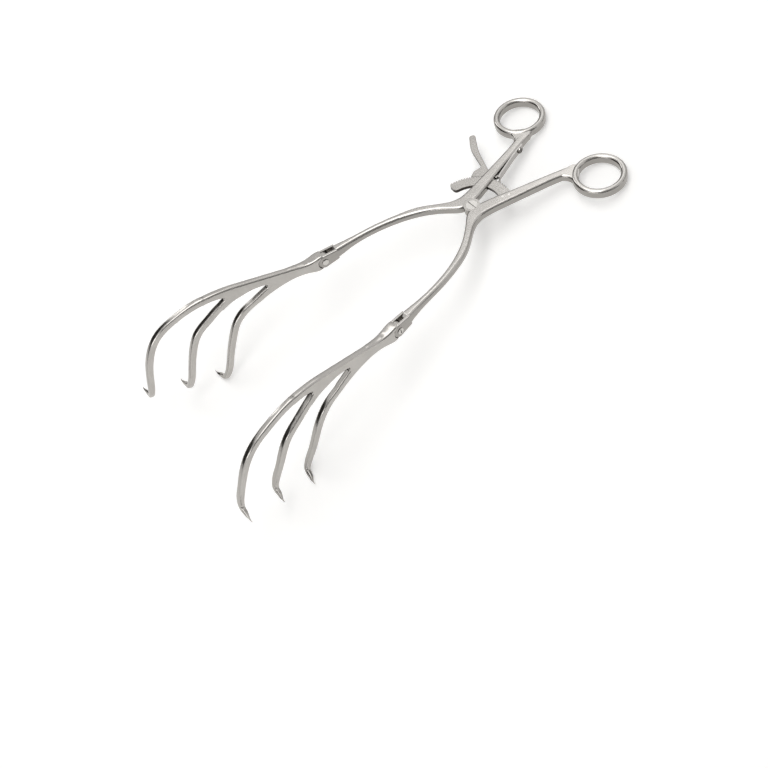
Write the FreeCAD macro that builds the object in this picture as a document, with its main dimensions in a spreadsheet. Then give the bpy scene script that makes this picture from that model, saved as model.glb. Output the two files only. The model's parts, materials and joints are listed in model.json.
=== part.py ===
import FreeCAD, Part
import math
import os
import re
import Sketcher

# A self-retaining spinal retractor. It is drawn flat first: the lap joint's centre is the origin, the
# rings lie towards +Y, the blades towards -Y, and the pivot stands along Z. All millimetres.
# "Across" is the distance from the middle plane, "along" is Y, and angles are in degrees.

Vector = FreeCAD.Vector
Rotation = FreeCAD.Rotation
Placement = FreeCAD.Placement

doc = FreeCAD.newDocument("SpinalRetractor")
sheet = doc.addObject("Spreadsheet::Sheet", "Sizes")

SIZES = (
    # Finger rings
    ("ring_across", 33.3),
    ("ring_along", 61.9),
    ("ring_bore_radius", 11.26),
    ("ring_band", 3.58),
    ("ring_height", 5.6),
    ("ring_edge", 1.6),
    # Shanks and arms: thickness at the shank, and how far their long edges are rounded
    ("shank_thickness", 5.0),
    ("shank_edge", 1.5),
    ("gusset_thickness", 4.6),
    ("gusset_edge", 1.4),
    ("arm_edge", 1.8),
    # Lap joint: each handle has half the thickness there
    ("lobe_radius", 4.6),
    ("lobe_gap", 0.1),
    ("lap_gap", 0.04),
    # Pivot screw
    ("pivot_radius", 1.6),
    ("pivot_head_radius", 3.3),
    ("pivot_head_height", 1.1),
    ("pivot_slot_width", 0.45),
    ("pivot_slot_depth", 0.5),
    ("running_gap", 0.05),
    ("press_gap", 0.02),
    # Ratchet bar, concentric with the pivot; angles are counted from +X
    ("bar_outer", 22.4),
    ("bar_inner", 15.7),
    ("bar_thickness", 2.0),
    ("bar_start", 58.0),
    ("bar_end", 177.0),
    ("bar_corner", 2.4),
    ("tooth_pitch", 4.0),
    ("tooth_depth", 0.9),
    ("tooth_mouth", 1.42),
    ("tooth_steep", 0.25),
    ("tooth_root", 0.07),
    ("tooth_first", 83.0),
    ("tooth_count", 23),
    ("mesh_gap", 0.12),
    ("rivet_radius", 0.75),
    ("rivet_angle", 63.5),
    ("rivet_inset", 1.6),
    ("pocket_angle", 40.0),
    ("pocket_end_gap", 0.1),
    ("degrees_a_radian", 57.2958),
    # Slot through the left shank for the bar and the lever
    ("slot_height", 2.3),
    ("slot_inner", 15.2),
    ("slot_outer", 28.6),
    ("slot_start", 92.0),
    ("slot_end", 155.0),
    # Release lever
    ("lever_thickness", 2.0),
    ("lever_pin_radius", 0.8),
    ("lever_pin_across", 10.6),
    ("lever_pin_along", 21.6),
    ("lever_pin_cover", 0.6),
    ("lever_edge", 0.5),
    ("lever_pin_end_gap", 0.1),
    ("nose_allowance", 0.6),
    ("nose_corner", 0.4),
    ("tooth_overrun", 0.5),
    ("nose_start", 127.0),
    ("nose_end", 142.5),
    ("nose_tooth", 131.0),
    # Leaf spring
    ("spring_thickness", 0.7),
    ("spring_height", 4.0),
    ("spring_above", 3.6),
    ("spring_bend", 6.0),
    ("spring_contact", 22.3),
    ("spring_reach", 1.19),
    ("spring_top_gap", 0.3),
    ("spring_side_gap", 0.2),
    ("spring_sweep", 40.0),
    ("spring_kink_radius", 1.8),
    ("spring_kink_lead", 0.25),
    ("spring_lip_out", 0.9),
    ("spring_lip_length", 1.5),
    ("spring_lip_square", 0.4),
    ("spring_relief", 0.35),
    ("spring_relief_length", 11.0),
    ("spring_screw_along", 45.3),
    ("spring_screw_radius", 0.9),
    ("spring_screw_length", 3.2),
    ("spring_head_radius", 1.75),
    ("spring_head_height", 1.0),
    ("spring_slot_width", 0.5),
    ("spring_screw_seat", 0.2),
    ("spring_head_chamfer", 0.3),
    ("seat_gap", 0.03),
    # Blade hinges, at the ends of the arms
    ("hinge_across", 33.85),
    ("hinge_along", -78.5),
    ("hinge_up", -2.5),
    ("blade_azimuth", 8.5),
    ("fork_width", 6.0),
    ("fork_slot", 2.8),
    ("fork_eye", 4.2),
    ("fork_slot_depth", 5.9),
    ("fork_length", 8.2),
    ("fork_edge", 0.7),
    ("fork_bevel", 0.9),
    ("fork_bevel_drop", 0.4),
    ("fork_heel_lift", 0.35),
    ("hinge_radius", 1.3),
    ("hinge_head_radius", 1.95),
    ("hinge_head_height", 0.45),
    ("hinge_slot_width", 0.6),
    ("hinge_slot_floor", 0.05),
    ("hinge_slot_margin", 0.55),
    ("hinge_head_chamfer", 0.2),
    ("tongue_radius", 3.9),
    ("tongue_gap", 0.05),
    ("shoulder_gap", 0.15),
    # Blades: thickness sideways of the web and its rounded edges
    ("web_thickness", 3.8),
    ("web_edge", 1.2),
    ("web_start", 20.0),
    ("web_bottom", -1.4),
    ("web_top", 6.2),
    ("join_depth", 1.6),
    ("join_step", 0.03),
    ("point_size", 0.35),
    ("point_round", 0.4),
)

# Cross-sections of a handle, from the ring to the fork: along, inner edge, outer edge, bottom, top
HANDLE = (
    ("ring_root", 60.5, 18.75, 22.1, -1.7, 1.7),
    ("ring_neck", 51.0, 15.95, 21.6, -2.4, 2.4),
    ("shank_top", 41.0, 12.95, 18.5, -2.5, 2.5),
    ("shank_mid", 30.0, 9.65, 15.8, -2.5, 2.5),
    ("shank_low", 19.0, 6.3, 13.2, -2.5, 2.5),
    ("shank_foot", 9.0, 3.2, 10.9, -2.5, 2.5),
    ("hub_side", 0.0, 1.6, 9.7, -2.5, 2.5),
    ("bend_top", -7.0, 3.7, 11.7, -2.5, 2.5),
    ("bend_mid", -14.3, 11.0, 17.1, -2.6, 2.3),
    ("arm_top", -23.0, 17.6, 23.2, -2.85, 1.8),
    ("arm_high", -33.0, 22.6, 27.2, -3.1, 1.4),
    ("arm_mid", -44.0, 26.2, 30.3, -3.25, 1.2),
    ("arm_low", -55.0, 28.4, 32.4, -3.45, 1.1),
    ("fork_neck", -64.5, 29.4, 34.1, -4.3, 1.2),
    ("fork_root", -72.6, 30.2, 35.9, -5.7, 1.3),
)

# Corners of the release lever, counted from its pin: across, along, and the radius of the corner
LEVER = (
    ("heel", -9.4, -4.4, 2.0),
    ("shoulder", -9.1, 0.9, 1.6),
    ("finger_root", -24.6, 5.4, 25.0),
    ("tip_low", -33.0, 11.5, 1.45),
    ("tip_high", -31.2, 14.5, 1.45),
    ("finger_back", -20.0, 7.7, 50.0),
    ("neck", -4.2, 2.1, 6.0),
    ("back", -0.8, 2.1, 3.0),
    ("tail_root", 2.4, 3.3, 1.0),
    ("tail_top", 4.0, 3.3, 0.8),
    ("tail_end", 4.1, 1.2, 0.8),
    ("tail_low", 2.0, 0.1, 1.0),
    ("belly", 0.0, -1.5, 1.0),
)

# Corners of a blade's web between its prongs: distance from the hinge, height, and the corner's radius
WEB = (
    ("belly", 31.0, -1.5, 60.0),
    ("inner_crotch", 30.5, 4.15, 1.6),
    ("span", 43.0, 7.0, 25.0),
    ("sag", 55.5, 5.9, 25.0),
    ("outer_crotch", 56.4, 11.25, 1.3),
    ("brow", 65.0, 13.9, 25.0),
    ("ridge", 58.5, 17.7, 75.0),
)

# Corners of the gusset that widens the shank into its ring: across, along, and the corner's radius
GUSSET = (
    ("shank_inside", 16.0, 42.0, 0.0),
    ("shank_outside", 18.2, 42.6, 0.0),
    ("crotch", 21.2, 49.0, 6.5),
    ("ring_low", 29.0, 48.9, 0.0),
    ("ring_bore", 27.2, 51.8, 0.0),
    ("ring_side", 21.0, 59.0, 0.0),
    ("inner_side", 17.9, 56.5, 0.0),
)

# Cross-sections of a blade's shoulder: distance from the hinge, bottom, top and thickness sideways
SHOULDER = (
    ("heel", 0.6, -3.0, 4.8, 6.0),
    ("tail", 5.4, -4.3, 4.6, 6.2),
    ("waist", 9.4, -3.0, 4.2, 5.5),
    ("throat", 14.4, -1.8, 4.9, 4.6),
)

# The three prongs: where each section's centre lies from the hinge (outward, along, up), its width in
# the blade's plane and its thickness across that plane. The first of each is the end of the web.
PRONGS = (
    ("outer", 0.0, (
        ("stub", 0.0, 70.0, 16.2, 4.4, 3.8),
        ("crest", 0.0, 82.4, 15.2, 4.2, 3.7),
        ("brow", -0.2, 93.0, 12.2, 4.1, 3.7),
        ("knee", -0.7, 102.0, 6.4, 4.0, 3.7),
        ("shin", -1.5, 108.2, -2.2, 4.0, 3.6),
        ("calf", -2.9, 112.9, -13.0, 3.8, 3.4),
        ("ankle", -4.2, 116.2, -22.6, 3.4, 3.2),
        ("heel", -3.7, 117.2, -25.4, 3.0, 2.9),
        ("sole", -1.9, 117.9, -26.9, 2.6, 2.6),
        ("toe", 1.9, 118.8, -27.5, 1.7, 1.7),
    ), (6.5, 119.6, -27.9)),
    ("middle", -26.0, (
        ("stub", 0.0, 62.0, 5.6, 4.5, 3.8),
        ("crest", 0.0, 69.4, 2.0, 4.2, 3.7),
        ("brow", -0.1, 75.6, -1.4, 4.1, 3.7),
        ("knee", -0.5, 81.2, -6.0, 4.0, 3.7),
        ("shin", -1.3, 85.8, -13.0, 4.0, 3.6),
        ("calf", -2.6, 90.3, -22.0, 3.8, 3.4),
        ("ankle", -4.2, 95.0, -31.6, 3.4, 3.2),
        ("heel", -3.7, 96.5, -34.2, 3.0, 2.9),
        ("sole", -1.9, 97.4, -35.6, 2.6, 2.6),
        ("toe", 1.9, 98.5, -36.2, 1.7, 1.7),
    ), (5.9, 99.3, -36.6)),
    ("inner", -18.7, (
        ("stub", 0.0, 43.0, -3.0, 4.4, 3.8),
        ("crest", 0.0, 49.4, -5.3, 4.2, 3.7),
        ("brow", -0.2, 55.0, -8.6, 4.1, 3.7),
        ("knee", -0.6, 59.4, -13.2, 4.0, 3.7),
        ("shin", -1.5, 64.4, -21.4, 4.0, 3.6),
        ("calf", -2.8, 69.6, -31.4, 3.8, 3.4),
        ("ankle", -4.2, 74.4, -39.8, 3.4, 3.2),
        ("heel", -3.7, 76.3, -42.3, 3.0, 2.9),
        ("sole", -1.9, 77.5, -43.6, 2.6, 2.6),
        ("toe", 1.9, 79.0, -44.1, 1.7, 1.7),
    ), (5.9, 80.1, -44.4)),
)


def put(name, value):
    """Write one named size into the sheet."""
    put.row += 1
    sheet.set("A%d" % put.row, name)
    sheet.set("B%d" % put.row, repr(value))
    sheet.setAlias("B%d" % put.row, name)


put.row = 0
for size_name, size_value in SIZES:
    put(size_name, size_value)
for station, along, inner, outer, bottom, top in HANDLE:
    put(station + "_along", along)
    put(station + "_inner", inner)
    put(station + "_outer", outer)
    put(station + "_bottom", bottom)
    put(station + "_top", top)
for station, along, bottom, top, thick in SHOULDER:
    put(station + "_from_hinge", along)
    put(station + "_bottom", bottom)
    put(station + "_top", top)
    put(station + "_thickness", thick)
for corner, across, along, radius in LEVER:
    put("lever_%s_across" % corner, across)
    put("lever_%s_along" % corner, along)
    put("lever_%s_radius" % corner, radius)
for corner, across, along, radius in GUSSET:
    put("gusset_%s_across" % corner, across)
    put("gusset_%s_along" % corner, along)
    if radius:
        put("gusset_%s_radius" % corner, radius)
for corner, reach, up, radius in WEB:
    put("web_%s_reach" % corner, reach)
    put("web_%s_up" % corner, up)
    put("web_%s_radius" % corner, radius)
for prong, slant, stations, tip in PRONGS:
    put(prong + "_slant", slant)
    for station, out, along, up, wide, thick in stations:
        put("_".join((prong, station, "out")), out)
        put("_".join((prong, station, "reach")), along)
        put("_".join((prong, station, "up")), up)
        put("_".join((prong, station, "width")), wide)
        put("_".join((prong, station, "thickness")), thick)
    put(prong + "_tip_out", tip[0])
    put(prong + "_tip_reach", tip[1])
    put(prong + "_tip_up", tip[2])
doc.recompute()


def bind(text):
    """A formula in the sheet's own names, as an expression."""
    return re.sub(r"\b([a-z_]+)\b(?!\()", r"Sizes.\1", text)


def number(text):
    """The present value of such a formula."""
    return float(sheet.evalExpression(bind(text)))


def pin_point(sketch, edge, end, across, up):
    """Hold one end of an edge at two formulas, or on an axis where the formula is 0."""
    for kind, axis, text in (("DistanceX", -2, across), ("DistanceY", -1, up)):
        if text == "0":
            sketch.addConstraint(Sketcher.Constraint("PointOnObject", edge, end, axis))
        else:
            index = sketch.addConstraint(Sketcher.Constraint(kind, edge, end, number(text)))
            sketch.setExpression("Constraints[%d]" % index, bind(text))


def outline(sketch, corners):
    """A closed outline through its corners, in order. A corner is (across, up), or (across, up, radius)
    where an arc leaves it: one that turns left, or right where the radius has a minus sign."""
    points = [Vector(number(c[0]), number(c[1]), 0) for c in corners]
    edges = []
    for k, corner in enumerate(corners):
        start = points[k]
        end = points[(k + 1) % len(corners)]
        if len(corner) == 2:
            line = Part.LineSegment(start, end)
            edges.append((sketch.addGeometry(line, False), 1, 2))
            continue
        left = not corner[2].startswith("-")
        text = corner[2].lstrip("-")
        radius = number(text)
        chord = end - start
        rise = math.sqrt(max(radius ** 2 - (chord.Length / 2) ** 2, 0.0))
        side = Vector(-chord.y, chord.x, 0).normalize()
        centre = (start + end) * 0.5 + side * (rise if left else -rise)
        first, last = (start, end) if left else (end, start)
        first_angle = math.atan2(first.y - centre.y, first.x - centre.x)
        last_angle = math.atan2(last.y - centre.y, last.x - centre.x)
        circle = Part.Circle(centre, Vector(0, 0, 1), radius)
        edge = sketch.addGeometry(Part.ArcOfCircle(circle, first_angle, last_angle), False)
        index = sketch.addConstraint(Sketcher.Constraint("Radius", edge, radius))
        sketch.setExpression("Constraints[%d]" % index, bind(text))
        edges.append((edge, 1, 2) if left else (edge, 2, 1))
    for k, (edge, start, end) in enumerate(edges):
        before, ignored, last = edges[k - 1]
        sketch.addConstraint(Sketcher.Constraint("Coincident", before, last, edge, start))
        pin_point(sketch, edge, start, corners[k][0], corners[k][1])
    return sketch


def smooth_outline(sketch, corners):
    """A closed outline of straight runs. A corner is (across, up), or (across, up, radius) where the two
    runs are joined by an arc that touches both; its corner point is kept as a construction point."""
    points = [Vector(number(c[0]), number(c[1]), 0) for c in corners]
    count = len(corners)
    arcs = {}
    starts = list(points)
    ends = list(points)
    for k, corner in enumerate(corners):
        if len(corner) == 2:
            continue
        radius = number(corner[2])
        back = (points[k - 1] - points[k]).normalize()
        ahead = (points[(k + 1) % count] - points[k]).normalize()
        half = back.getAngle(ahead) / 2
        ends[k] = points[k] + back * (radius / math.tan(half))
        starts[k] = points[k] + ahead * (radius / math.tan(half))
        centre = points[k] + (back + ahead).normalize() * (radius / math.sin(half))
        left = back.cross(ahead).z < 0
        first, last = (ends[k], starts[k]) if left else (starts[k], ends[k])
        first_angle = math.atan2(first.y - centre.y, first.x - centre.x)
        last_angle = math.atan2(last.y - centre.y, last.x - centre.x)
        circle = Part.Circle(centre, Vector(0, 0, 1), radius)
        arc = sketch.addGeometry(Part.ArcOfCircle(circle, first_angle, last_angle), False)
        arcs[k] = (arc, 1, 2) if left else (arc, 2, 1)
    lines = []
    for k in range(count):
        line = Part.LineSegment(starts[k], ends[(k + 1) % count])
        lines.append(sketch.addGeometry(line, False))
    for k, corner in enumerate(corners):
        before = lines[k - 1]
        after = lines[k]
        if k not in arcs:
            sketch.addConstraint(Sketcher.Constraint("Coincident", before, 2, after, 1))
            pin_point(sketch, after, 1, corner[0], corner[1])
            continue
        arc, start, end = arcs[k]
        sketch.addConstraint(Sketcher.Constraint("Tangent", before, 2, arc, start))
        sketch.addConstraint(Sketcher.Constraint("Tangent", arc, end, after, 1))
        point = sketch.addGeometry(Part.Point(points[k]), True)
        sketch.addConstraint(Sketcher.Constraint("PointOnObject", point, 1, before))
        sketch.addConstraint(Sketcher.Constraint("PointOnObject", point, 1, after))
        pin_point(sketch, point, 1, corner[0], corner[1])
        index = sketch.addConstraint(Sketcher.Constraint("Radius", arc, number(corner[2])))
        sketch.setExpression("Constraints[%d]" % index, bind(corner[2]))
    return sketch


def rounded(sketch, left, right, low, high, radius):
    """A rectangle with rounded corners between four formulas."""
    return outline(sketch, (
        ("%s + %s" % (left, radius), low),
        ("%s - %s" % (right, radius), low, radius),
        (right, "%s + %s" % (low, radius)),
        (right, "%s - %s" % (high, radius), radius),
        ("%s - %s" % (right, radius), high),
        ("%s + %s" % (left, radius), high, radius),
        (left, "%s - %s" % (high, radius)),
        (left, "%s + %s" % (low, radius), radius),
    ))


def disc(sketch, across, up, radius):
    """A circle about a point given by two formulas."""
    circle = Part.Circle(Vector(number(across), number(up), 0), Vector(0, 0, 1), number(radius))
    edge = sketch.addGeometry(circle, False)
    pin_point(sketch, edge, 3, across, up)
    index = sketch.addConstraint(Sketcher.Constraint("Radius", edge, number(radius)))
    sketch.setExpression("Constraints[%d]" % index, bind(radius))
    return sketch


def new(kind, name, **values):
    """An object of the document; text values are formulas, bound to the sheet."""
    thing = doc.addObject(kind, name)
    for key, value in values.items():
        if isinstance(value, str):
            thing.setExpression(key, bind(value))
        else:
            setattr(thing, key, value)
    return thing


def free_sketch(name, place):
    """A sketch that a loft, an extrusion or a revolution takes."""
    return new("Sketcher::SketchObject", name, Placement=place)


UPRIGHT = Rotation(Vector(1, 0, 0), 90)
SIDEWAYS = Rotation(Vector(0, 1, 0), 90)
FACING = Rotation(Vector(0, -1, 0), Vector(0, 0, 1), Vector(-1, 0, 0), "XYZ")


def section(name, along, left, right, low, high, radius):
    """A rounded cross-section that stands across the Y axis."""
    sketch = free_sketch(name, Placement(Vector(0, number(along), 0), UPRIGHT))
    sketch.setExpression("Placement.Base.y", bind(along))
    return rounded(sketch, left, right, low, high, radius)


def extruded(name, sketch, length):
    """A plate between two planes, evenly to both sides of its sketch."""
    plate = doc.addObject("Part::Extrusion", name)
    plate.Base = sketch
    plate.DirMode = "Normal"
    plate.Solid = True
    plate.Symmetric = True
    plate.setExpression("LengthFwd", bind(length))
    return plate


def joined(name, parts):
    """The parts as one solid."""
    return new("Part::MultiFuse", name, Shapes=parts, Refine=False)


def less(name, base, tool):
    """The base without the tool."""
    return new("Part::Cut", name, Base=base, Tool=tool, Refine=False)


def post(name, radius, height, across="0", along="0", up="0"):
    """An upright cylinder that starts at a point."""
    place = Placement(Vector(number(across), number(along), number(up)), Rotation())
    cylinder = new("Part::Cylinder", name, Radius=radius, Height=height, Placement=place)
    for axis, text in (("x", across), ("y", along), ("z", up)):
        if text != "0":
            cylinder.setExpression("Placement.Base." + axis, bind(text))
    return cylinder


def cross_pin(name, radius, length):
    """A cylinder along X, centred on the blade's hinge before the hinge is set in its place."""
    place = Placement(Vector(-number(length) / 2, 0, 0), SIDEWAYS)
    cylinder = new("Part::Cylinder", name, Radius=radius, Height=length, Placement=place)
    cylinder.setExpression("Placement.Base.x", bind("-(%s) / 2" % length))
    return cylinder


def at_hinge(thing):
    """Set a piece that was drawn about the hinge's centre on the right arm's hinge."""
    holder = new("Part::Compound", thing.Name + "_at_hinge", Links=[thing])
    point = Vector(number("hinge_across"), number("hinge_along"), number("hinge_up"))
    holder.Placement = Placement(point, Rotation(Vector(0, 0, 1), number("blade_azimuth")))
    holder.setExpression("Placement.Base.x", bind("hinge_across"))
    holder.setExpression("Placement.Base.y", bind("hinge_along"))
    holder.setExpression("Placement.Base.z", bind("hinge_up"))
    holder.setExpression("Placement.Rotation.Angle", bind("blade_azimuth"))
    return holder


def mirrored(name, thing):
    """The same piece on the other side of the middle plane."""
    return new("Part::Mirroring", name, Source=thing, Base=Vector(), Normal=Vector(1, 0, 0))


# The form that both handles share: ring, shank and arm
handle_sections = []
for station, along, inner, outer, bottom, top in HANDLE:
    edge_name = "shank_edge" if along > 0 else "arm_edge"
    handle_sections.append(section(
        "section_" + station, station + "_along", station + "_inner", station + "_outer",
        station + "_bottom", station + "_top", edge_name,
    ))
hub_place = [row[0] for row in HANDLE].index("hub_side")
shank = new(
    "Part::Loft", "shank", Sections=handle_sections[:hub_place + 1], Solid=True, Ruled=False, MaxDegree=3,
)
arm = new("Part::Loft", "arm", Sections=handle_sections[hub_place:], Solid=True, Ruled=False, MaxDegree=3)

ring_sketch = free_sketch("ring_section", Placement(Vector(0, number("ring_along"), 0), UPRIGHT))
ring_sketch.setExpression("Placement.Base.y", bind("ring_along"))
rounded(
    ring_sketch, "ring_across + ring_bore_radius", "ring_across + ring_bore_radius + ring_band",
    "-ring_height / 2", "ring_height / 2", "ring_edge",
)
ring = new("Part::Revolution", "finger_ring", Source=ring_sketch, Axis=Vector(0, 0, 1), Solid=True)
ring.Angle = 360.0
ring.Base = Vector(number("ring_across"), number("ring_along"), 0)
ring.setExpression("Base.x", bind("ring_across"))
ring.setExpression("Base.y", bind("ring_along"))

# The gusset between shank and ring; its open edge is rounded, and its other edges lie inside them
gusset_sketch = free_sketch("gusset_outline", Placement())
gusset_corners = []
for corner, across, along, radius in GUSSET:
    names = ["gusset_%s_%s" % (corner, part) for part in ("across", "along", "radius")]
    gusset_corners.append(tuple(names if radius else names[:2]))
smooth_outline(gusset_sketch, gusset_corners)
gusset_plate = extruded("gusset_plate", gusset_sketch, "gusset_thickness")
doc.recompute()
gusset = new("Part::Fillet", "gusset_rounded", Base=gusset_plate)
gusset.Edges = [
    (place, number("gusset_edge"), number("gusset_edge"))
    for place, edge in enumerate(gusset_plate.Shape.Edges, 1)
    if edge.BoundBox.ZLength < 0.01 and edge.CenterOfMass.x > number("gusset_crotch_across - 2.5")
    and edge.CenterOfMass.y < number("gusset_crotch_along + 0.5")
]

# The fork's cheeks, drawn from the side about the hinge: an eye in front, tapering back into the arm
fork_sketch = free_sketch("fork_side", Placement(Vector(), FACING))
outline(fork_sketch, (
    ("0", "-fork_eye", "fork_eye"),
    ("fork_eye", "0", "fork_eye"),
    ("0", "fork_eye"),
    ("-fork_length", "fork_root_top - hinge_up"),
    ("-fork_length", "fork_root_bottom - hinge_up + fork_heel_lift"),
))
fork = extruded("fork_block", fork_sketch, "fork_width")
doc.recompute()

# The long edges of the cheeks are rounded, all round the eye
fork_round = new("Part::Fillet", "fork_rounded", Base=fork)
fork_round.Edges = [
    (place, number("fork_edge"), number("fork_edge"))
    for place, edge in enumerate(fork.Shape.Edges, 1)
    if edge.BoundBox.XLength < 0.01 and edge.BoundBox.YLength > 0.01
]

# The slot between the cheeks; its closed end is bevelled upwards
slot_sketch = free_sketch("fork_slot_side", Placement(Vector(), FACING))
outline(slot_sketch, (
    ("-fork_slot_depth", "-2 * fork_eye"),
    ("2 * fork_eye", "-2 * fork_eye"),
    ("2 * fork_eye", "2 * fork_eye"),
    ("-fork_slot_depth - 2 * fork_bevel", "2 * fork_eye"),
    ("-fork_slot_depth - 2 * fork_bevel", "fork_eye - fork_bevel_drop"),
    ("-fork_slot_depth", "fork_eye - fork_bevel_drop - fork_bevel"),
))
fork_gap = extruded("fork_gap", slot_sketch, "fork_slot")
fork_bore = cross_pin("fork_bore", "hinge_radius + press_gap", "2 * fork_width")
fork_tools = at_hinge(joined("fork_tools", [fork_gap, fork_bore]))

handle_form = less(
    "handle_form", joined("handle_joined", [shank, arm, ring, gusset, at_hinge(fork_round)]), fork_tools,
)
left_form = mirrored("left_form", handle_form)


def lobe(name, low, high, radius, across="0"):
    """A disc of the lap joint between two heights."""
    return post(name, radius, "(%s) - (%s)" % (high, low), across, "0", low)


HALF = "shank_thickness / 2"

# Right handle: the upper lobe, counterbored for the screw's head, and the bar's blind pocket
right_hub = joined("right_hub", [
    less("right_bar_form", handle_form, lobe(
        "right_recess", "-%s - 1" % HALF, "lap_gap / 2", "lobe_radius + lobe_gap")),
    lobe("right_lobe", "lap_gap / 2", HALF, "lobe_radius"),
])


def sector(name, inner, outer, start, end, low, high):
    """A flat ring about the pivot between two angles and two heights."""
    wedge = post(name + "_wedge", outer, "(%s) - (%s)" % (high, low), up=low)
    wedge.setExpression("Angle", bind("(%s) - (%s)" % (end, start)))
    turn = Rotation(Vector(0, 0, 1), number(start))
    wedge.Placement = Placement(Vector(0, 0, number(low)), turn)
    core = post(name + "_core", inner, "(%s) - (%s) + 2" % (high, low), up="(%s) - 1" % low)
    return less(name, wedge, core)


def polar(angle, radius, aside="0"):
    """A point at an angle and a radius about the pivot, moved aside against the clock."""
    across = "(%s) * cos(%s) - (%s) * sin(%s)" % (radius, angle, aside, angle)
    along = "(%s) * sin(%s) + (%s) * cos(%s)" % (radius, angle, aside, angle)
    return across, along


# The bar is held in its pocket by two flush rivets, one above the other along the shank
RIVETS = (
    polar("rivet_angle", "bar_inner + rivet_inset"),
    polar("rivet_angle", "bar_outer - rivet_inset"),
)
pocket = sector(
    "bar_pocket", "bar_inner - press_gap", "bar_outer + press_gap",
    "bar_start - pocket_end_gap", "bar_start + pocket_angle",
    "-bar_thickness / 2 - press_gap", "bar_thickness / 2 + press_gap",
)
right_tools = [
    pocket,
    post("right_pivot_bore", "pivot_radius + running_gap", "shank_thickness + 2", up="-shank_thickness"),
    post(
        "right_counterbore", "pivot_head_radius + running_gap", "pivot_head_height + 1",
        up=HALF + " - pivot_head_height",
    ),
]
for place, (across, along) in enumerate(RIVETS):
    right_tools.append(post(
        "rivet_bore_%d" % place, "rivet_radius + press_gap", "shank_thickness + 2", across, along,
        "-shank_thickness / 2 - 1",
    ))
right_handle = less("right_handle", right_hub, joined("right_tools", right_tools))

# Left handle: the lower lobe, threaded for the screw, the slot for bar and lever, the lever's pin hole,
# and the flat seat of the leaf spring
left_hub = joined("left_hub", [
    less("left_bar_form", left_form, lobe(
        "left_recess", "-lap_gap / 2", HALF + " + 1", "lobe_radius + lobe_gap")),
    lobe("left_lobe", "-" + HALF, "-lap_gap / 2", "lobe_radius"),
])
seat_lean = math.degrees(math.atan2(
    number("ring_neck_inner - shank_foot_inner"), number("ring_neck_along - shank_foot_along"),
))
SHANK_SLOPE = "((ring_neck_inner - shank_foot_inner) / (ring_neck_along - shank_foot_along))"
SEAT_ACROSS = "-shank_foot_inner - %s * (spring_screw_along - shank_foot_along)" % SHANK_SLOPE
spring_seat = Placement(
    Vector(number(SEAT_ACROSS), number("spring_screw_along"), 0),
    Rotation(Vector(0, 0, 1), seat_lean),
)
relief = new(
    "Part::Box", "spring_relief", Length="spring_relief + 2", Width="spring_above + spring_relief_length",
    Height="spring_height + 2 * spring_side_gap",
)
relief.Placement = spring_seat.multiply(Placement(Vector(
    -number("spring_relief"), -number("spring_relief_length"),
    -number("spring_height / 2 + spring_side_gap"),
), Rotation()))
left_tools = [
    relief,
    sector("lever_slot", "slot_inner", "slot_outer", "slot_start", "slot_end",
           "-slot_height / 2", "slot_height / 2"),
    post("left_pivot_bore", "pivot_radius + press_gap", "shank_thickness + 2", up="-shank_thickness"),
    post(
        "lever_pin_bore", "lever_pin_radius + press_gap", "shank_thickness - lever_pin_cover + 1",
        "-lever_pin_across", "lever_pin_along", "-%s - 1" % HALF,
    ),
]
screw_hole = post("spring_screw_bore", "spring_screw_radius + press_gap", "spring_screw_length + 2")
screw_hole.Placement = spring_seat.multiply(Placement(
    Vector(-number("spring_screw_length"), 0, 0), SIDEWAYS,
))
left_tools.append(screw_hole)
left_handle = less("left_handle", left_hub, joined("left_tools", left_tools))


def body_sketch(body, name, plane, offset="0"):
    """A sketch on one of its body's own planes, or parallel to it."""
    sketch = body.newObject("Sketcher::SketchObject", name)
    support = [f for f in body.Origin.OriginFeatures if f.Role == plane][0]
    sketch.AttachmentSupport = [(support, "")]
    sketch.MapMode = "FlatFace"
    if offset != "0":
        sketch.AttachmentOffset = Placement(Vector(0, 0, number(offset)), Rotation())
        sketch.setExpression("AttachmentOffset.Base.z", bind(offset))
    return sketch


def pad(body, name, sketch, length):
    """A plate of a body, evenly to both sides of its sketch."""
    plate = body.newObject("PartDesign::Pad", name)
    plate.Profile = sketch
    plate.SideType = "Symmetric"
    plate.setExpression("Length", bind(length))
    return plate


def cut_through(body, name, sketch, length):
    """A pocket of a body, evenly to both sides of its sketch."""
    hole = body.newObject("PartDesign::Pocket", name)
    hole.Profile = sketch
    hole.SideType = "Symmetric"
    hole.setExpression("Length", bind(length))
    return hole


def repeated(body, name, feature, count, angle):
    """A feature repeated about the pivot."""
    pattern = body.newObject("PartDesign::PolarPattern", name)
    pattern.Originals = [feature]
    axis = [f for f in body.Origin.OriginFeatures if f.Role == "Z_Axis"][0]
    pattern.Axis = (axis, [""])
    pattern.setExpression("Occurrences", bind(count))
    pattern.setExpression("Angle", bind(angle))
    body.Tip = pattern
    return pattern


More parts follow.
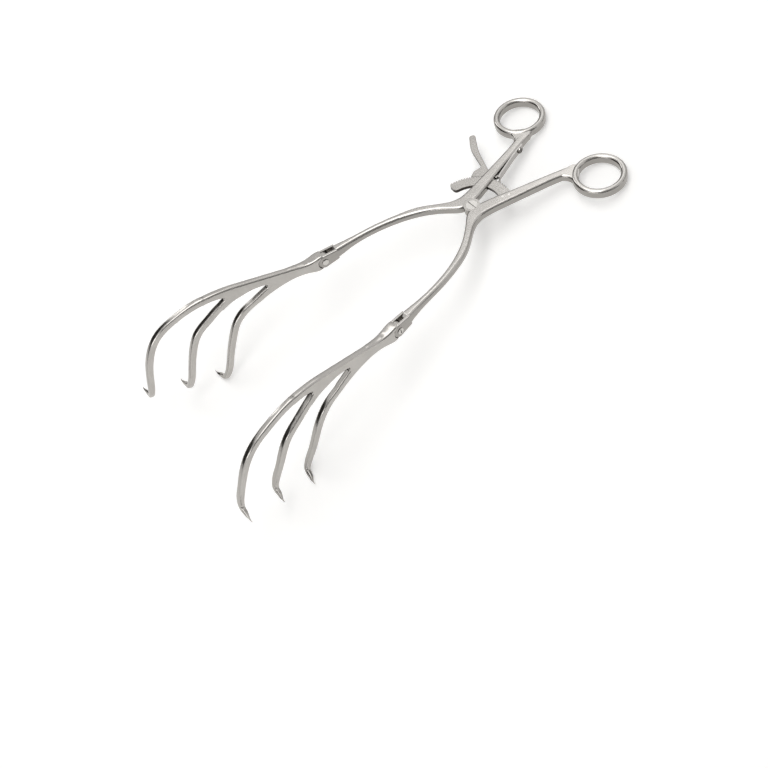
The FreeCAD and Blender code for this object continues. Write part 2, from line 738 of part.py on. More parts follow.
# Ratchet bar: a flat arc with saw teeth on its outer edge and a rounded free end
bar = doc.addObject("PartDesign::Body", "ratchet_bar")
BAR_TURN = "bar_end - bar_corner / bar_outer * degrees_a_radian"
BAR_BACK = "bar_end - bar_corner / bar_inner * degrees_a_radian"
bar_sketch = outline(body_sketch(bar, "bar_outline", "XY_Plane"), (
    polar("bar_start", "bar_outer") + ("bar_outer",),
    polar(BAR_TURN, "bar_outer") + ("bar_corner",),
    polar("bar_end", "bar_outer - bar_corner"),
    polar("bar_end", "bar_inner + bar_corner") + ("bar_corner",),
    polar(BAR_BACK, "bar_inner") + ("-bar_inner",),
    polar("bar_start", "bar_inner"),
))
pad(bar, "bar_plate", bar_sketch, "bar_thickness")
gap_sketch = outline(body_sketch(bar, "tooth_gap", "XY_Plane"), (
    polar("tooth_first", "bar_outer + tooth_overrun", "tooth_steep - tooth_mouth"),
    polar("tooth_first", "bar_outer", "tooth_steep - tooth_mouth"),
    polar("tooth_first", "bar_outer - tooth_depth", "-tooth_root"),
    polar("tooth_first", "bar_outer - tooth_depth"),
    polar("tooth_first", "bar_outer", "tooth_steep"),
    polar("tooth_first", "bar_outer + tooth_overrun", "tooth_steep"),
))
tooth_gap = cut_through(bar, "tooth_cut", gap_sketch, "2 * bar_thickness")
for place, (across, along) in enumerate(RIVETS):
    hole_sketch = disc(
        body_sketch(bar, "bar_rivet_hole_%d" % place, "XY_Plane"), across, along, "rivet_radius + press_gap",
    )
    cut_through(bar, "bar_rivet_cut_%d" % place, hole_sketch, "2 * bar_thickness")
repeated(bar, "bar_teeth", tooth_gap, "tooth_count", "tooth_pitch * (tooth_count - 1)")

# Release lever: a toothed nose over the bar, a tail for the spring, and a long finger piece
lever = doc.addObject("PartDesign::Body", "release_lever")
NOSE = "bar_outer + mesh_gap"
lever_corners = [
    polar("nose_start", NOSE + " - nose_allowance"),
    polar("nose_end", NOSE + " - nose_allowance"),
    polar("nose_end", NOSE + " + nose_corner") + ("nose_corner",),
]
for corner, across, along, radius in LEVER:
    lever_corners.append((
        "lever_%s_across - lever_pin_across" % corner, "lever_%s_along + lever_pin_along" % corner,
        "lever_%s_radius" % corner,
    ))
lever_sketch = smooth_outline(body_sketch(lever, "lever_outline", "XY_Plane"), lever_corners)
lever_plate = pad(lever, "lever_plate", lever_sketch, "lever_thickness")
doc.recompute()
finger_round = lever.newObject("PartDesign::Fillet", "finger_round")
finger_round.Base = (lever_plate, [
    "Edge%d" % place
    for place, edge in enumerate(lever_plate.Shape.Edges, 1)
    if edge.BoundBox.ZLength < 0.01
])
finger_round.setExpression("Radius", bind("lever_edge"))
nose_cut = disc(body_sketch(lever, "nose_circle", "XY_Plane"), "0", "0", NOSE)
cut_through(lever, "nose_cut", nose_cut, "2 * lever_thickness")
tooth_sketch = outline(body_sketch(lever, "nose_tooth_outline", "XY_Plane"), (
    polar("nose_tooth", NOSE + " + tooth_overrun", "tooth_steep - tooth_mouth + mesh_gap / 2"),
    polar("nose_tooth", NOSE, "tooth_steep - tooth_mouth + mesh_gap / 2"),
    polar("nose_tooth", NOSE + " - tooth_depth + mesh_gap / 2", "-tooth_root"),
    polar("nose_tooth", NOSE + " - tooth_depth + mesh_gap / 2", "-tooth_root / 2"),
    polar("nose_tooth", NOSE, "tooth_steep - mesh_gap"),
    polar("nose_tooth", NOSE + " + tooth_overrun", "tooth_steep - mesh_gap"),
))
nose_tooth = pad(lever, "nose_tooth", tooth_sketch, "lever_thickness")
pin_hole = disc(
    body_sketch(lever, "lever_pin_hole", "XY_Plane"), "-lever_pin_across", "lever_pin_along",
    "lever_pin_radius + running_gap",
)
cut_through(lever, "lever_pin_cut", pin_hole, "2 * lever_thickness")
repeated(lever, "nose_teeth", nose_tooth, "3", "2 * tooth_pitch")

# Leaf spring, drawn about its screw: X out of the shank's side, Y up the shank
spring = doc.addObject("PartDesign::Body", "lever_spring")
STRIP_BACK = "seat_gap - spring_relief"
STRIP_FRONT = "seat_gap - spring_relief + spring_thickness"
spring_sketch = smooth_outline(body_sketch(spring, "spring_outline", "XY_Plane"), (
    (STRIP_BACK, "spring_above - spring_top_gap"),
    (STRIP_BACK, "-spring_bend", "spring_sweep"),
    ("spring_reach", "-spring_contact", "spring_kink_radius + spring_thickness"),
    ("spring_reach + spring_lip_out", "-spring_contact - spring_lip_length"),
    ("spring_reach + spring_lip_out + spring_thickness",
     "-spring_contact - spring_lip_length + spring_lip_square"),
    ("spring_reach + spring_thickness", "-spring_contact + spring_kink_lead", "spring_kink_radius"),
    (STRIP_FRONT, "-spring_bend", "spring_sweep"),
    (STRIP_FRONT, "spring_above - spring_top_gap"),
))
pad(spring, "spring_strip", spring_sketch, "spring_height")
spring_hole_sketch = disc(
    body_sketch(spring, "spring_hole", "YZ_Plane"), "0", "0", "spring_screw_radius + running_gap",
)
cut_through(spring, "spring_hole_cut", spring_hole_sketch, "6 * spring_thickness")


def turned(name, profile, slot_width, slot_depth, slot_height, slot_length):
    """A screw turned about Z from its half profile, with a driver slot cut across its head."""
    body = doc.addObject("PartDesign::Body", name)
    sketch = outline(body_sketch(body, name + "_profile", "XZ_Plane"), profile)
    form = body.newObject("PartDesign::Revolution", name + "_form")
    form.Profile = sketch
    form.ReferenceAxis = (sketch, ["V_Axis"])
    form.Angle = 360.0
    doc.recompute()
    whole = body.Shape.Volume
    groove_sketch = body_sketch(body, name + "_slot", "XY_Plane", slot_height)
    outline(groove_sketch, (
        ("-(%s) / 2" % slot_length, "-(%s) / 2" % slot_width),
        ("(%s) / 2" % slot_length, "-(%s) / 2" % slot_width),
        ("(%s) / 2" % slot_length, "(%s) / 2" % slot_width),
        ("-(%s) / 2" % slot_length, "(%s) / 2" % slot_width),
    ))
    groove = body.newObject("PartDesign::Pocket", name + "_slot_cut")
    groove.Profile = groove_sketch
    groove.setExpression("Length", bind(slot_depth))
    doc.recompute()
    if body.Shape.Volume > whole - 0.01:
        raise RuntimeError("the slot of %s cuts nothing" % name)
    return body


# Pivot screw: its head lies flush in the right handle, its thread in the left one
pivot = turned("pivot_screw", (
    ("0", "-" + HALF),
    ("pivot_radius", "-" + HALF),
    ("pivot_radius", HALF + " - pivot_head_height + press_gap"),
    ("pivot_head_radius", HALF + " - pivot_head_height + press_gap"),
    ("pivot_head_radius", HALF),
    ("0", HALF),
), "pivot_slot_width", "pivot_slot_depth", HALF, "2 * pivot_head_radius + 1")

# Hinge screw: head outside the fork, riveted end inside it; drawn along Z from the fork's outer cheek
CHEEK = "(fork_width + press_gap)"
hinge_screw = turned("right_hinge_screw", (
    ("0", "-%s - hinge_head_height" % CHEEK),
    ("hinge_head_radius - hinge_head_chamfer", "-%s - hinge_head_height" % CHEEK),
    ("hinge_head_radius", "-%s - hinge_head_height / 2" % CHEEK),
    ("hinge_head_radius", "-" + CHEEK),
    ("hinge_radius", "-" + CHEEK),
    ("hinge_radius", "press_gap"),
    ("hinge_head_radius", "press_gap"),
    ("hinge_head_radius", "hinge_head_height / 2"),
    ("hinge_head_radius - hinge_head_chamfer", "hinge_head_height"),
    ("0", "hinge_head_height"),
), "hinge_slot_width", "hinge_head_height - hinge_slot_floor", "hinge_head_height",
    "2 * (hinge_head_radius - hinge_slot_margin)")

# Screw of the leaf spring, drawn along Z from the spring's face
spring_screw = turned("spring_screw", (
    ("0", "spring_screw_seat - spring_screw_length"),
    ("spring_screw_radius", "spring_screw_seat - spring_screw_length"),
    ("spring_screw_radius", "press_gap"),
    ("spring_head_radius", "press_gap"),
    ("spring_head_radius", "spring_head_height - spring_head_chamfer"),
    ("spring_head_radius - spring_head_chamfer", "spring_head_height"),
    ("0", "spring_head_height"),
), "spring_slot_width", "spring_head_height / 2", "spring_head_height", "2 * spring_head_radius + 1")

lever_pin = new("Part::Compound", "lever_pin", Links=[post(
    "lever_pin_rod", "lever_pin_radius", "shank_thickness - lever_pin_cover - lever_pin_end_gap",
    "-lever_pin_across", "lever_pin_along", "-" + HALF,
)])
rivets = new("Part::Compound", "ratchet_bar_rivets", Links=[
    post("rivet_%d" % place, "rivet_radius", "shank_thickness", across, along, "-" + HALF)
    for place, (across, along) in enumerate(RIVETS)
])

# Blade, drawn about its hinge: X outward, -Y along the blade, Z up
blade_sections = []
for station, along, bottom, top, thick in SHOULDER:
    half = station + "_thickness / 2"
    blade_sections.append(section(
        "section_" + station, "-%s_from_hinge" % station, "-" + half, half,
        station + "_bottom", station + "_top", "web_edge",
    ))
WEB_RISE = "(web_ridge_up - web_top) / (web_ridge_reach - web_start)"
blade_sections.append(section(
    "section_web_start", "-web_start - join_depth",
    "-web_thickness / 2 + join_step", "web_thickness / 2 - join_step",
    "web_bottom + join_step", "web_top + join_depth * %s - join_step" % WEB_RISE, "web_edge",
))
shoulder = new(
    "Part::Loft", "blade_shoulder", Sections=blade_sections, Solid=True, Ruled=False, MaxDegree=3,
)


def stub_end(prong, side):
    """Upper (1) or lower (-1) end of the line where a prong leaves the web."""
    sign = "+" if side > 0 else "-"
    back = "-" if side > 0 else "+"
    half = "%s_stub_width / 2" % prong
    reach = "%s_stub_reach %s %s * sin(%s_slant)" % (prong, back, half, prong)
    up = "%s_stub_up %s %s * cos(%s_slant)" % (prong, sign, half, prong)
    return reach, up


web_sketch = free_sketch("web_outline", Placement(Vector(), FACING))


def web_corner(corner):
    """One of the web's own corners, with its radius."""
    return tuple("web_%s_%s" % (corner, part) for part in ("reach", "up", "radius"))


smooth_outline(web_sketch, (
    ("web_start", "web_bottom"),
    web_corner("belly"),
    stub_end("inner", -1),
    stub_end("inner", 1),
    web_corner("inner_crotch"),
    web_corner("span"),
    web_corner("sag"),
    stub_end("middle", -1),
    stub_end("middle", 1),
    web_corner("outer_crotch"),
    web_corner("brow"),
    stub_end("outer", -1),
    stub_end("outer", 1),
    web_corner("ridge"),
    ("web_start", "web_top"),
))
web = extruded("web_plate", web_sketch, "web_thickness")
doc.recompute()

# The web's long edges are rounded; its four end faces, where the shoulder and prongs go on, stay sharp
web_ends = [Vector(0, -number("web_start"), number("(web_bottom + web_top) / 2"))]
for prong, slant, stations, tip in PRONGS:
    web_ends.append(Vector(0, -number(prong + "_stub_reach"), number(prong + "_stub_up")))
web_edges = []
for place, edge in enumerate(web.Shape.Edges, 1):
    middle = edge.CenterOfMass
    flat = edge.BoundBox.XLength < 0.01
    at_end = any(Vector(0, middle.y - end.y, middle.z - end.z).Length < 0.01 for end in web_ends)
    if flat and not at_end:
        web_edges.append((place, number("web_edge"), number("web_edge")))
web_round = new("Part::Fillet", "web_rounded", Base=web)
web_round.Edges = web_edges


def prong_solid(prong, stations, tip):
    """A prong through its sections. Each stands square to the prong's run, and turns with it. The first
    is set back into the web, and is smaller than the web's end by a hair."""
    names = ["%s_%s" % (prong, row[0]) for row in stations]
    points = [Vector(number(n + "_out"), -number(n + "_reach"), number(n + "_up")) for n in names]
    end = Vector(number(prong + "_tip_out"), -number(prong + "_tip_reach"), number(prong + "_tip_up"))
    points.append(end)
    slant = number(prong + "_slant")
    runs = [Vector(0, -math.cos(math.radians(slant)), math.sin(math.radians(slant)))]
    for before, after in zip(points, points[2:]):
        runs.append((after - before).normalize())
    runs.append((points[-1] - points[-2]).normalize())
    points[0] = points[0] - runs[0] * number("join_depth")
    wide_way = Vector(0, math.sin(math.radians(slant)), math.cos(math.radians(slant)))
    sketches = []
    for place, run in enumerate(runs):
        wide_way = (wide_way - run * wide_way.dot(run)).normalize()
        thick_way = run.cross(wide_way)
        turn = Rotation(wide_way, thick_way, run, "ZXY")
        last = place == len(runs) - 1
        name = prong + "_point" if last else names[place]
        wide = "point_size" if last else names[place] + "_width"
        thick = "point_size" if last else names[place] + "_thickness"
        if place == 0:
            wide += " - 2 * join_step"
            thick += " - 2 * join_step"
        edge = "point_size * point_round" if last else "(%s) * web_edge / %s_stub_width" % (wide, prong)
        sketch = free_sketch(name, Placement(points[place], turn))
        sketches.append(rounded(
            sketch, "-(%s) / 2" % wide, "(%s) / 2" % wide, "-(%s) / 2" % thick, "(%s) / 2" % thick, edge,
        ))
    return new("Part::Loft", prong + "_prong", Sections=sketches, Solid=True, Ruled=False, MaxDegree=3)


prong_solids = [prong_solid(prong, stations, tip) for prong, slant, stations, tip in PRONGS]
tongue = cross_pin("blade_tongue", "tongue_radius", "fork_slot - 2 * tongue_gap")
blade_tools = [cross_pin("blade_bore", "hinge_radius + running_gap", "2 * fork_width")]
for side in ("-", ""):
    ear = cross_pin("ear_room" + ("_inner" if side else "_outer"), "fork_eye + shoulder_gap", "fork_width")
    shift = "-%s - fork_width" if side else "%s"
    ear.setExpression("Placement.Base.x", bind(shift % "(fork_slot / 2 - tongue_gap)"))
    blade_tools.append(ear)
blade_form = less(
    "blade_form", joined("blade_joined", [shoulder, web_round] + prong_solids + [tongue]),
    joined("blade_tools", blade_tools),
)
doc.recompute()

# The retractor lies at rest on the ends of its rings and the hooks of its two inner prongs. The tilt
# that brings both to the table is found by halving, and the middle of its outline is set over the
# origin.
hinge_place = doc.getObject("fork_tools_at_hinge").Placement


def corners_of(shape, place=Placement()):
    """Points spread over a shape's surface, at a placement."""
    return [place.multVec(point) for point in shape.tessellate(0.02)[0]]


ring_points = corners_of(ring.Shape)
blade_points = corners_of(blade_form.Shape, hinge_place)


def lowest(points, tilt):
    """The height of the lowest point when the retractor is tilted about X."""
    rise = math.sin(math.radians(tilt))
    level = math.cos(math.radians(tilt))
    return min(point.y * rise + point.z * level for point in points)


steep = -30.0
shallow = 0.0
while shallow - steep > 1e-7:
    tilt = (steep + shallow) / 2
    if lowest(ring_points, tilt) < lowest(blade_points, tilt):
        steep = tilt
    else:
        shallow = tilt
tilted = Placement(Vector(), Rotation(Vector(1, 0, 0), tilt))
spread = [tilted.multVec(point).y for point in ring_points + blade_points]
REST = Placement(
    Vector(0, -(min(spread) + max(spread)) / 2, -lowest(ring_points, tilt)),
    Rotation(Vector(1, 0, 0), tilt),
)

left_hinge_place = Placement(
    Vector(-number("hinge_across"), number("hinge_along"), number("hinge_up")),
    Rotation(Vector(0, 0, 1), -number("blade_azimuth")),
)
OUTWARD = Rotation(Vector(0, 1, 0), 90)
to_cheek = Placement(Vector(number("fork_width / 2"), 0, 0), OUTWARD)
right_blade = blade_form
right_blade.Placement = REST.multiply(hinge_place)
hinge_screw.Placement = REST.multiply(hinge_place).multiply(to_cheek)
left_blade = mirrored("left_blade", right_blade)
left_hinge_screw = mirrored("left_hinge_screw", hinge_screw)
from_spring = Placement(Vector(number(STRIP_FRONT), 0, 0), OUTWARD)
spring.Placement = REST.multiply(spring_seat)
spring_screw.Placement = REST.multiply(spring_seat).multiply(from_spring)
for piece in (right_handle, left_handle, pivot, bar, rivets, lever, lever_pin):
    piece.Placement = REST

NODES = {
    "left_handle": left_handle,
    "right_handle": right_handle,
    "pivot_screw": pivot,
    "ratchet_bar": bar,
    "ratchet_bar_rivets": rivets,
    "release_lever": lever,
    "lever_pin": lever_pin,
    "lever_spring": spring,
    "spring_screw": spring_screw,
    "left_blade": left_blade,
    "right_blade": right_blade,
    "left_hinge_screw": left_hinge_screw,
    "right_hinge_screw": hinge_screw,
}
for node, piece in NODES.items():
    piece.Label = node
doc.recompute()

for thing in doc.Objects:
    if "Invalid" in thing.State or "Error" in thing.State:
        raise RuntimeError("%s failed: %s" % (thing.Name, thing.State))
for node, piece in NODES.items():
    if piece.Shape.isNull() or not piece.Shape.isValid():
        raise RuntimeError("%s has no valid shape" % node)
    solids = len(piece.Shape.Solids)
    if solids != (2 if node == "ratchet_bar_rivets" else 1):
        raise RuntimeError("%s has %d solids" % (node, solids))

os.makedirs("parts", exist_ok=True)
for node, piece in NODES.items():
    piece.Shape.exportStep("parts/%s.step" % node)
print("tilt %.4f, moved %s" % (tilt, REST.Base))
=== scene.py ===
import bmesh
import bpy
import json
import math
from mathutils import Matrix, Vector


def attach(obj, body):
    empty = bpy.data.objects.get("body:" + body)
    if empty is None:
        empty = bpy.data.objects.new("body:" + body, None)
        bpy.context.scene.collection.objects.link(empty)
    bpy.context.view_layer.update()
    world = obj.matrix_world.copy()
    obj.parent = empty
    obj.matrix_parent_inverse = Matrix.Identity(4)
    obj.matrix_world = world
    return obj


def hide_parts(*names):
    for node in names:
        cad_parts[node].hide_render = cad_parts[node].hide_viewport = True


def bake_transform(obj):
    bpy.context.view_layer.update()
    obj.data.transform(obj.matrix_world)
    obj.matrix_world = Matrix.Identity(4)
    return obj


# Looks of the spinal retractor. Everything is in metres, in the frame of the solids.

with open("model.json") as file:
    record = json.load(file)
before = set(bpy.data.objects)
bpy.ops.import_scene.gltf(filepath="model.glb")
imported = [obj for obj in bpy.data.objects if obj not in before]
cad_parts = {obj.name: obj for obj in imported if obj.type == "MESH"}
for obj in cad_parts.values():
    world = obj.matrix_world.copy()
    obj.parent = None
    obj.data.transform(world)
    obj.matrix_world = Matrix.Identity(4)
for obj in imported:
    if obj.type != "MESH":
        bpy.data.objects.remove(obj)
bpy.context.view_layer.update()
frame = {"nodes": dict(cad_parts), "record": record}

MM = 0.001
WHITE = (1.0, 1.0, 1.0, 1.0)
# The instrument lies tilted on its rings and hooks; this is the normal of its handles' flat faces
FLAT_UP = Vector((0.0, 0.191640, 0.981465))
# Normals of the blades' flat sides
RIGHT_SIDE = Vector((0.989016, 0.145070, -0.028326))
LEFT_SIDE = Vector((-0.989016, 0.145070, -0.028326))

# How square a face stands to its flat direction, as a cosine: where satin starts and where it is
# full, and up to where a side face has its full painted shade and where that ends
SATIN_FROM, SATIN_FULL = 0.965, 0.997
SIDE_SHADE_FULL, SIDE_SHADE_END = 0.25, 0.85
# Patches in which the polish clouds over, and the height of the grain
CLOUD_SIZE = 9.0 * MM
GRAIN_HEIGHT = 0.02 * MM
# Share of the grain that polishing leaves
POLISHED_GRAIN = 0.15
# The middle of a noise is spread over the whole of a range
NOISE_LOW, NOISE_HIGH = 0.3, 0.7
# How far roughness swings below and above its middle value
SATIN_SWING = (-0.06, 0.08)
POLISH_SWING = (-0.03, 0.05)
# A Mix node's sockets by place, because its numbers and its colours carry the same names
FACTOR, NUMBER_A, NUMBER_B, COLOUR_A, COLOUR_B = 0, 2, 3, 6, 7
MIXED_NUMBER, MIXED_COLOUR = 0, 2

# Points closer than this are one point, and facets within this angle are one flat face
SAME_POINT = 0.002 * MM
SAME_FLAT = math.radians(0.05)
# Edges sharper than this get a bevel and stay creased in the shading
SHARP = math.radians(30.0)


def linear(code):
    """A six-digit sRGB colour as linear RGBA."""
    parts = [int(code[k:k + 2], 16) / 255 for k in (0, 2, 4)]
    return tuple(c / 12.92 if c <= 0.04045 else ((c + 0.055) / 1.055) ** 2.4 for c in parts) + (1.0,)


def add(tree, kind, sockets=None, **settings):
    """One shader node. A socket's value is a plain value, or an output socket to link from."""
    node = tree.nodes.new(kind)
    for key, value in settings.items():
        setattr(node, key, value)
    for key, value in (sockets or {}).items():
        if isinstance(value, bpy.types.NodeSocket):
            tree.links.new(value, node.inputs[key])
        else:
            node.inputs[key].default_value = value
    return node


def new_material(name):
    """A material with an empty tree, its tree and its output node."""
    material = bpy.data.materials.new(name)
    material.use_nodes = True
    tree = material.node_tree
    tree.nodes.clear()
    return material, tree, add(tree, "ShaderNodeOutputMaterial")


def steel(name, flat, bright, dull, painted_side_shade, satin, polish, grain=0.25, bump=0.25):
    """Stainless steel: satin on faces square to the direction flat, polished on edges and bores.
    Two colours mix in cloudy patches, and the third is painted shade that darkens the side faces.
    The numbers satin and polish are roughness. Real blasting is finer than 0.1 mm, too fine to show,
    so the grain, in millimetres, is drawn coarser than that and shows in a close view."""
    material, tree, out = new_material(name)
    place = add(tree, "ShaderNodeTexCoord")
    point = place.outputs["Object"]
    facing = add(tree, "ShaderNodeVectorMath", {
        0: place.outputs["Normal"], 1: flat,
    }, operation="DOT_PRODUCT")
    squareness = add(tree, "ShaderNodeMath", {0: facing.outputs["Value"]}, operation="ABSOLUTE")
    on_flat = add(tree, "ShaderNodeMapRange", {
        "Value": squareness.outputs[0], "From Min": SATIN_FROM, "From Max": SATIN_FULL,
        "To Min": 0.0, "To Max": 1.0,
    }, interpolation_type="SMOOTHSTEP")
    # Painted shade: mask of the side faces, which get the darker third colour
    side_shade_mask = add(tree, "ShaderNodeMapRange", {
        "Value": squareness.outputs[0], "From Min": SIDE_SHADE_FULL, "From Max": SIDE_SHADE_END,
        "To Min": 1.0, "To Max": 0.0,
    })
    fine = add(tree, "ShaderNodeTexNoise", {
        "Vector": point, "Scale": 1.0 / (grain * MM), "Detail": 3.0, "Roughness": 0.6,
    })
    cloud = add(tree, "ShaderNodeTexNoise", {
        "Vector": point, "Scale": 1.0 / CLOUD_SIZE, "Detail": 3.0, "Roughness": 0.55,
    })
    tint = add(tree, "ShaderNodeMix", {
        FACTOR: cloud.outputs["Fac"], COLOUR_A: linear(dull), COLOUR_B: linear(bright),
    }, data_type="RGBA")
    # Painted shade: the third colour darkens the side faces
    shade = add(tree, "ShaderNodeMix", {
        FACTOR: side_shade_mask.outputs["Result"], COLOUR_A: tint.outputs[MIXED_COLOUR],
        COLOUR_B: linear(painted_side_shade),
    }, data_type="RGBA")
    satin_range = add(tree, "ShaderNodeMapRange", {
        "Value": fine.outputs["Fac"], "From Min": NOISE_LOW, "From Max": NOISE_HIGH,
        "To Min": satin + SATIN_SWING[0], "To Max": satin + SATIN_SWING[1],
    })
    polish_range = add(tree, "ShaderNodeMapRange", {
        "Value": cloud.outputs["Fac"], "From Min": NOISE_LOW, "From Max": NOISE_HIGH,
        "To Min": polish + POLISH_SWING[0], "To Max": polish + POLISH_SWING[1],
    })
    rough = add(tree, "ShaderNodeMix", {
        FACTOR: on_flat.outputs["Result"], NUMBER_A: polish_range.outputs["Result"],
        NUMBER_B: satin_range.outputs["Result"],
    }, data_type="FLOAT")
    depth = add(tree, "ShaderNodeMapRange", {
        "Value": on_flat.outputs["Result"], "To Min": POLISHED_GRAIN * bump, "To Max": bump,
    })
    relief = add(tree, "ShaderNodeBump", {
        "Height": fine.outputs["Fac"], "Strength": depth.outputs["Result"],
        "Distance": GRAIN_HEIGHT,
    })
    shader = add(tree, "ShaderNodeBsdfPrincipled", {
        "Base Color": shade.outputs[MIXED_COLOUR], "Metallic": 1.0,
        "Roughness": rough.outputs[MIXED_NUMBER], "Normal": relief.outputs["Normal"],
    })
    tree.links.new(shader.outputs[0], out.inputs["Surface"])
    return material


# Forged stainless steel, blasted and then polished on its edges: even grey flats with bright outlines,
# and a light painted shade on the side faces
handle_steel = steel(
    "satin_steel_handles", FLAT_UP, "b9b6b2", "a5a29e", "9c9995", 0.24, 0.17,
)
# The blades' satin is softer and spreads the light wider, and faces turned away from their flat sides get
# a light painted shade. Their flat sides face left and right
BLADE = ("bdbab6", "aaa7a3", "a6a39f", 0.32, 0.17)
right_blade_steel = steel("satin_steel_right_blade", RIGHT_SIDE, *BLADE)
left_blade_steel = steel("satin_steel_left_blade", LEFT_SIDE, *BLADE)
# Milled steel of the ratchet bar and release lever: a darker grey, with a dark painted shade on the side
# faces, such as the teeth's flanks
ratchet_steel = steel(
    "satin_steel_ratchet", FLAT_UP, "b1aeaa", "9c9995", "45423f", 0.26, 0.19,
)
# Turned steel of the screws, pin and rivets: finer and brighter, so the heads stand out from the flats,
# with a dark painted shade on their side faces
TURNED = ("cfccc8", "bfbcb8", "6b6864", 0.22, 0.16, 0.15, 0.15)
screw_steel = steel("polished_steel_screws", FLAT_UP, *TURNED)
# The hinge screws' heads face sideways, as the blades do
right_screw_steel = steel("polished_steel_right_hinge", RIGHT_SIDE, *TURNED)
left_screw_steel = steel("polished_steel_left_hinge", LEFT_SIDE, *TURNED)
# Rolled strip of the leaf spring: the smoothest piece, which gives it the sharpest highlights, with a
# faint painted shade on its edges
spring_steel = steel(
    "polished_spring_steel", FLAT_UP, "c0bdba", "adaaa7", "a5a29f", 0.2, 0.14, 0.3, 0.15,
)

RECORD = frame["record"]
BODY_OF = {node: body for body, nodes in RECORD["behaviour"]["bodies"].items() for node in nodes}


def dressed(node, material, edge):
    """A node's own form with its facets joined, its hard edges broken by a fine bevel, and a material."""
    mesh = frame["nodes"][node].data.copy()
    work = bmesh.new()
    work.from_mesh(mesh)
    bmesh.ops.remove_doubles(work, verts=work.verts, dist=SAME_POINT)
    bmesh.ops.dissolve_degenerate(work, edges=work.edges, dist=SAME_POINT)
    bmesh.ops.dissolve_limit(
        work, angle_limit=SAME_FLAT, verts=work.verts, edges=work.edges,
        use_dissolve_boundaries=False,
    )
    work.to_mesh(mesh)
    work.free()
    mesh.shade_smooth()
    mesh.set_sharp_from_angle(angle=SHARP)
    mesh.materials.clear()
    mesh.materials.append(material)
    piece = bpy.data.objects.new(node + "_steel", mesh)
    bpy.context.scene.collection.objects.link(piece)
    bevel = piece.modifiers.new("broken_edges", "BEVEL")
    bevel.width = edge * MM
    bevel.segments = 2
    bevel.limit_method = "ANGLE"
    bevel.angle_limit = SHARP
    bevel.harden_normals = True
    bevel.miter_outer = "MITER_ARC"
    if not node.endswith("_blade"):
        # Flat faces keep their own normal, so that the long satin flats show no creases. The blades
        # are left without it, because their top strips are crowned by the polishing wheel
        even = piece.modifiers.new("even_flats", "WEIGHTED_NORMAL")
        even.keep_sharp = True
    if node == "lever_spring":
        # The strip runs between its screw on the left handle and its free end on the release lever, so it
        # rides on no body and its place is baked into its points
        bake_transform(piece)
    else:
        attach(piece, BODY_OF[node])
    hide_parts(node)


PIECES = (
    # node, material, broken edge in millimetres
    ("left_handle", handle_steel, 0.12),
    ("right_handle", handle_steel, 0.12),
    ("left_blade", left_blade_steel, 0.12),
    ("right_blade", right_blade_steel, 0.12),
    ("ratchet_bar", ratchet_steel, 0.08),
    ("release_lever", ratchet_steel, 0.08),
    ("pivot_screw", screw_steel, 0.05),
    ("ratchet_bar_rivets", screw_steel, 0.05),
    ("lever_pin", screw_steel, 0.05),
    ("spring_screw", screw_steel, 0.05),
    ("left_hinge_screw", left_screw_steel, 0.06),
    ("right_hinge_screw", right_screw_steel, 0.06),
    ("lever_spring", spring_steel, 0.08),
)
for node, material, edge in PIECES:
    dressed(node, material, edge)

bpy.context.scene.view_settings.view_transform = "Standard"

# Camera at the photograph's place, in the frame of the solids
CAMERA_RIGHT = Vector((0.583833, 0.732339, -0.350455))
CAMERA_UP = Vector((-0.584178, 0.678705, 0.445079))
CAMERA_BACK = Vector((0.563804, -0.055124, 0.824067))
CAMERA_PLACE = Vector((403.261, -74.913, 540.115)) * MM
camera_data = bpy.data.cameras.new("camera")
camera_data.sensor_width = 36.0
camera_data.lens = 57.573
camera = bpy.data.objects.new("camera", camera_data)
bpy.context.scene.collection.objects.link(camera)
turn = Matrix((CAMERA_RIGHT, CAMERA_UP, CAMERA_BACK)).transposed().to_4x4()
camera.matrix_world = Matrix.Translation(CAMERA_PLACE) @ turn
bpy.context.scene.camera = camera

# What the lamps and cards face: about the middle of the object
MIDDLE = Vector((0.0, 0.0, 0.02))


def direct_rays(tree):
    """1 for rays from the camera or by way of steel or glass, and 0 for the light on other things."""
    path = add(tree, "ShaderNodeLightPath")
    seen = path.outputs["Is Camera Ray"]
    for kind in ("Is Glossy Ray", "Is Transmission Ray"):
        seen = add(tree, "ShaderNodeMath", {
            0: seen, 1: path.outputs[kind],
        }, operation="MAXIMUM").outputs[0]
    return seen


def plate(name, width, height, material):
    """A thin rectangle round its own middle."""
    w = width / 2
    h = height / 2
    mesh = bpy.data.meshes.new(name)
    mesh.from_pydata([(-w, -h, 0.0), (w, -h, 0.0), (w, h, 0.0), (-w, h, 0.0)], [], [(0, 1, 2, 3)])
    mesh.materials.append(material)
    thing = bpy.data.objects.new(name, mesh)
    bpy.context.scene.collection.objects.link(thing)
    return thing


def aim(thing, at, front):
    """Put a lamp or card in its place, with its front to the middle of the object."""
    thing.location = at
    thing.rotation_euler = (MIDDLE - Vector(at)).to_track_quat(front, "Y").to_euler()


# Floor: white to the camera and in the steel, as in the photograph, and it keeps the object's shadow
floor_material, tree, out = new_material("white_floor")
glow = add(tree, "ShaderNodeMath", {0: direct_rays(tree), 1: 0.33}, operation="MULTIPLY")
pale = add(tree, "ShaderNodeBsdfPrincipled", {
    "Base Color": linear("f4f3f1"), "Roughness": 0.9, "Emission Color": WHITE,
    "Emission Strength": glow.outputs[0],
})
tree.links.new(pale.outputs[0], out.inputs["Surface"])
floor = plate("floor", 8.0, 8.0, floor_material)
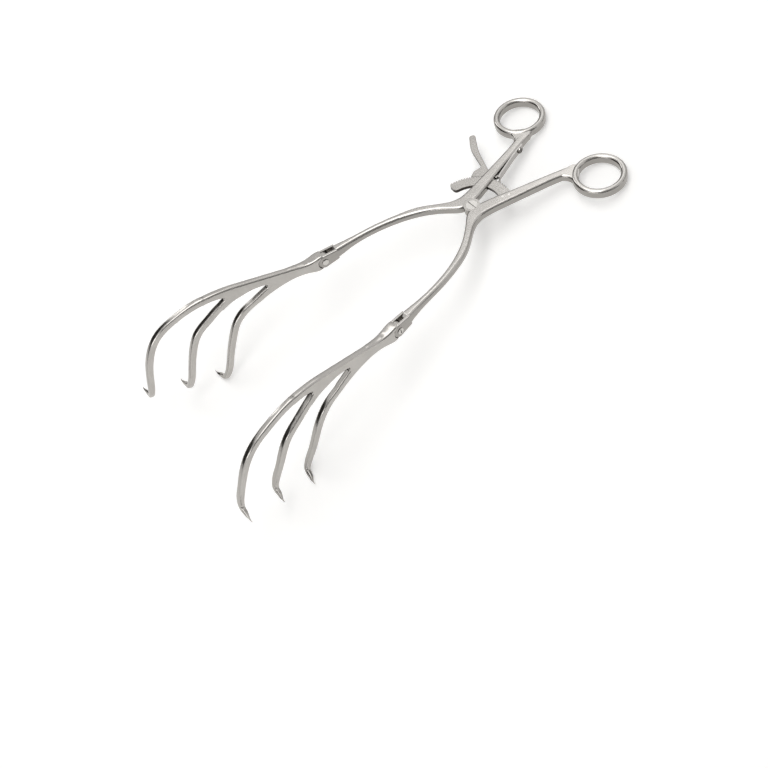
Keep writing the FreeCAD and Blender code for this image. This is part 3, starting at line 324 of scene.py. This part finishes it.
# Just under the lowest hooks and rings, so that no faces lie in one plane
floor.location.z = -0.05 * MM

# World: white behind the object and in the steel, softer as a light on everything else
world = bpy.data.worlds.new("studio")
bpy.context.scene.world = world
world.use_nodes = True
tree = world.node_tree
tree.nodes.clear()
out = add(tree, "ShaderNodeOutputWorld")
level = add(tree, "ShaderNodeMapRange", {
    "Value": direct_rays(tree), "To Min": 0.28, "To Max": 1.0,
})
light = add(tree, "ShaderNodeBackground", {"Color": WHITE, "Strength": level.outputs[0]})
tree.links.new(light.outputs[0], out.inputs["Surface"])

LAMPS = (
    # name, place, width, height, watts
    ("key", (-0.06, 0.06, 1.25), 0.70, 1.70, 9.0),
    ("rim", (-1.15, -0.10, 0.62), 0.22, 1.10, 1.8),
    ("front", (0.55, -1.10, 0.65), 0.90, 0.20, 1.8),
    ("far_back", (-1.15, 1.38, 1.42), 0.44, 0.44, 0.9),
)
for name, at, width, height, watts in LAMPS:
    lamp = bpy.data.lights.new(name, "AREA")
    lamp.shape = "RECTANGLE"
    lamp.size = width
    lamp.size_y = height
    lamp.energy = watts
    softbox = bpy.data.objects.new(name, lamp)
    bpy.context.scene.collection.objects.link(softbox)
    aim(softbox, at, "-Z")

# Dark cards beside the lamps, seen only in reflections: they draw the dark lines along the steel's
# rounded edges
card_material, tree, out = new_material("black_card")
matt = add(tree, "ShaderNodeBsdfPrincipled", {"Base Color": linear("353330"), "Roughness": 0.95})
tree.links.new(matt.outputs[0], out.inputs["Surface"])
CARDS = (
    # name, place, width, height
    ("card_camera", (0.80, -0.05, 0.92), 1.70, 0.46),
    ("card_front_left", (-0.62, -0.80, 0.50), 1.30, 0.90),
    ("card_left", (-1.00, 0.10, 0.20), 1.60, 0.30),
    ("card_right", (1.00, 0.00, 0.30), 1.60, 0.34),
    ("card_back", (0.10, 1.10, 0.12), 1.40, 0.18),
)
for name, at, width, height in CARDS:
    card = plate(name, width, height, card_material)
    aim(card, at, "Z")
    card.visible_camera = False
    card.visible_shadow = False
    card.visible_diffuse = False
